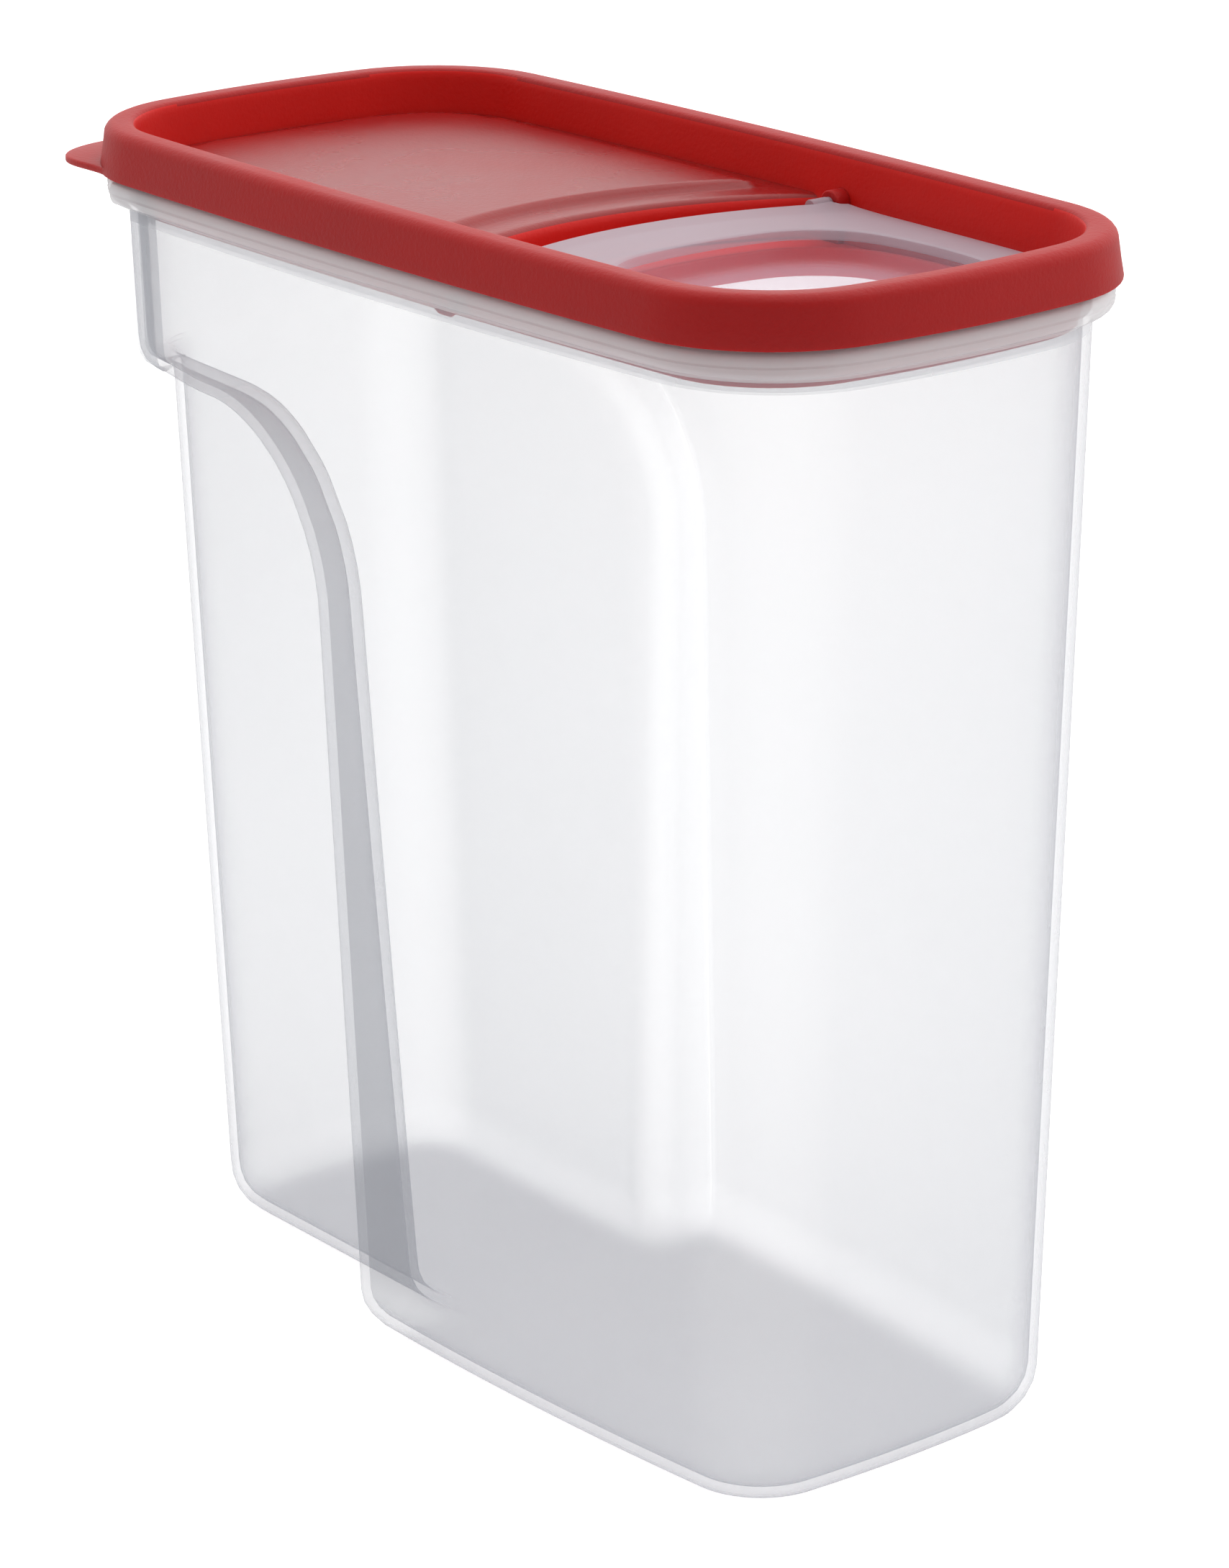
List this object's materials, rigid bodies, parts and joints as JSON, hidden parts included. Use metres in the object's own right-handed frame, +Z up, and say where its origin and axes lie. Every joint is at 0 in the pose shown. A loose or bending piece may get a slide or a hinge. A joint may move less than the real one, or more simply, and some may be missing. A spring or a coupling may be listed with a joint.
{
  "type": "cereal container with flip spout",
  "caption": "Tall clear food container with side grip recesses, a press-on lid with a pull tab and a hinged flip cover over the pouring opening.",
  "frame": {"origin": "middle of the footprint under the lid's middle, on the surface that the container stands on", "axes": "+X towards the pouring end, +Y across the container, +Z up towards the lid"},
  "size_m": [0.2344, 0.1102, 0.2412],
  "materials": {
    "clear_body": "clear, glossy polypropylene with a faint haze",
    "red_lid": "red, fine-grained, softly glossy",
    "frosted_cover": "translucent, frosted plate with a clear dish"
  },
  "bodies": {
    "container": {"container_body": "clear_body"},
    "lid": {"lid": "red_lid"},
    "cover": {"flip_cover": "frosted_cover"}
  },
  "joints": [
    {"name": "lid_lift", "type": "slide", "parent": "container", "child": "lid", "axis": [0, 0, 1], "range_m": [0, 0.06]},
    {"name": "cover_flip", "type": "hinge", "parent": "lid", "child": "cover", "pos_m": [0.0215, 0, 0.2315], "axis": [0, -1, 0], "range_deg": [0, 110]}
  ]
}
